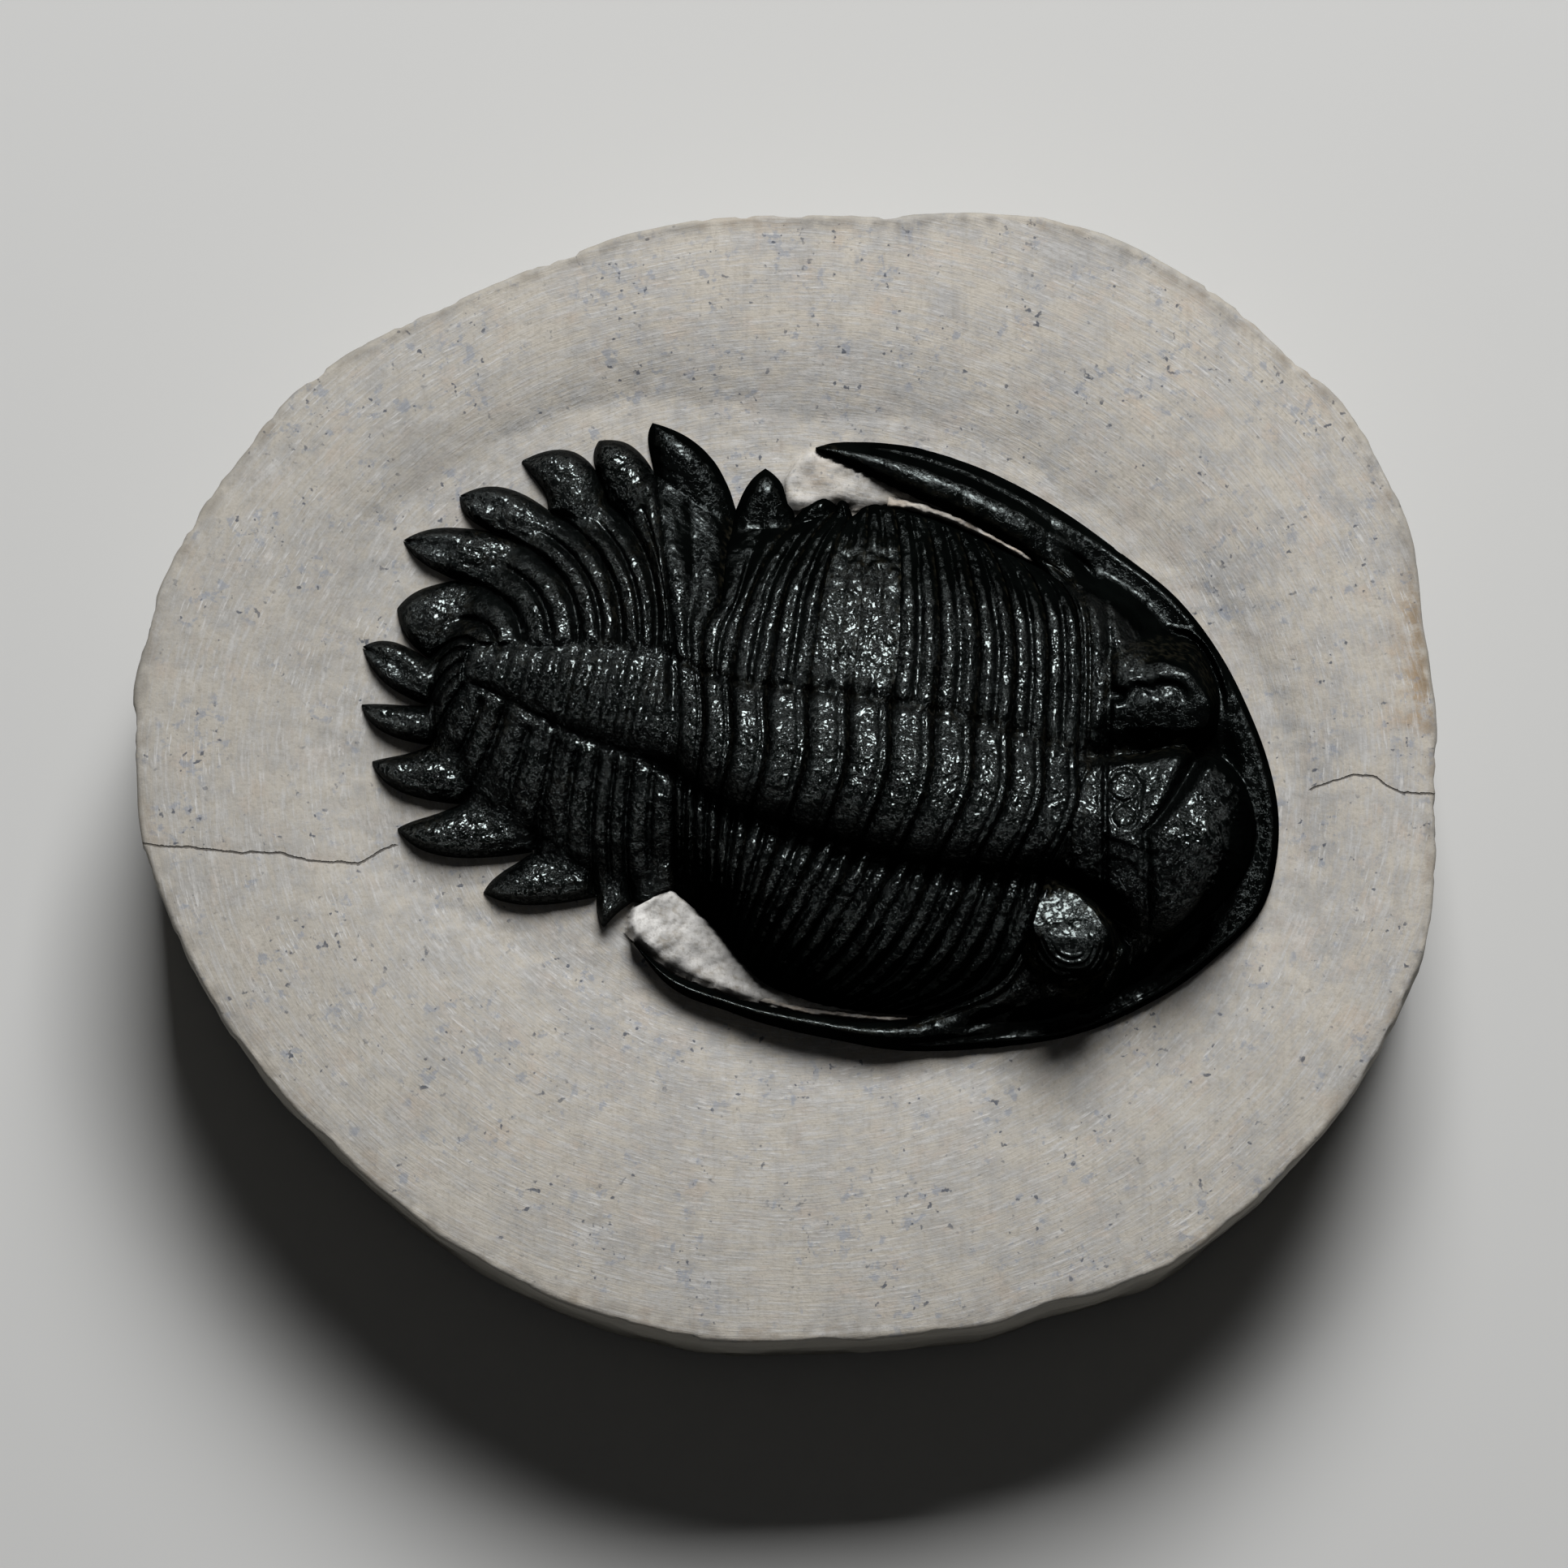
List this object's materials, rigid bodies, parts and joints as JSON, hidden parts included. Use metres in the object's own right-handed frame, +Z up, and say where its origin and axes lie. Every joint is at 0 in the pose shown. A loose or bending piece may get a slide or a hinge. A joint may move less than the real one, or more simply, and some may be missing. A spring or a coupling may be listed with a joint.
{
  "type": "trilobite fossil on a stone slab",
  "caption": "Spiny black trilobite fossil, articulated and lying flat, prepared in relief on a sanded pale limestone slab that rests on its flat base.",
  "frame": {"origin": "under the middle of the slab, on its flat base", "axes": "+X from the tail to the head, along the slab's length; +Y to the animal's left; +Z up"},
  "size_m": [0.0804, 0.0704, 0.0262],
  "materials": {
    "limestone": "sanded, matt",
    "fossil_shell": "wrinkled, semi-gloss"
  },
  "bodies": {
    "root": {"matrix_slab": "limestone", "cephalon": "fossil_shell", "thoracic_segment_01": "fossil_shell", "thoracic_segment_02": "fossil_shell", "thoracic_segment_03": "fossil_shell", "thoracic_segment_04": "fossil_shell", "thoracic_segment_05": "fossil_shell", "thoracic_segment_06": "fossil_shell", "thoracic_segment_07": "fossil_shell", "thoracic_segment_08": "fossil_shell", "thoracic_segment_09": "fossil_shell", "thoracic_segment_10": "fossil_shell", "thoracic_segment_11": "fossil_shell", "pygidium": "fossil_shell"}
  },
  "joints": []
}
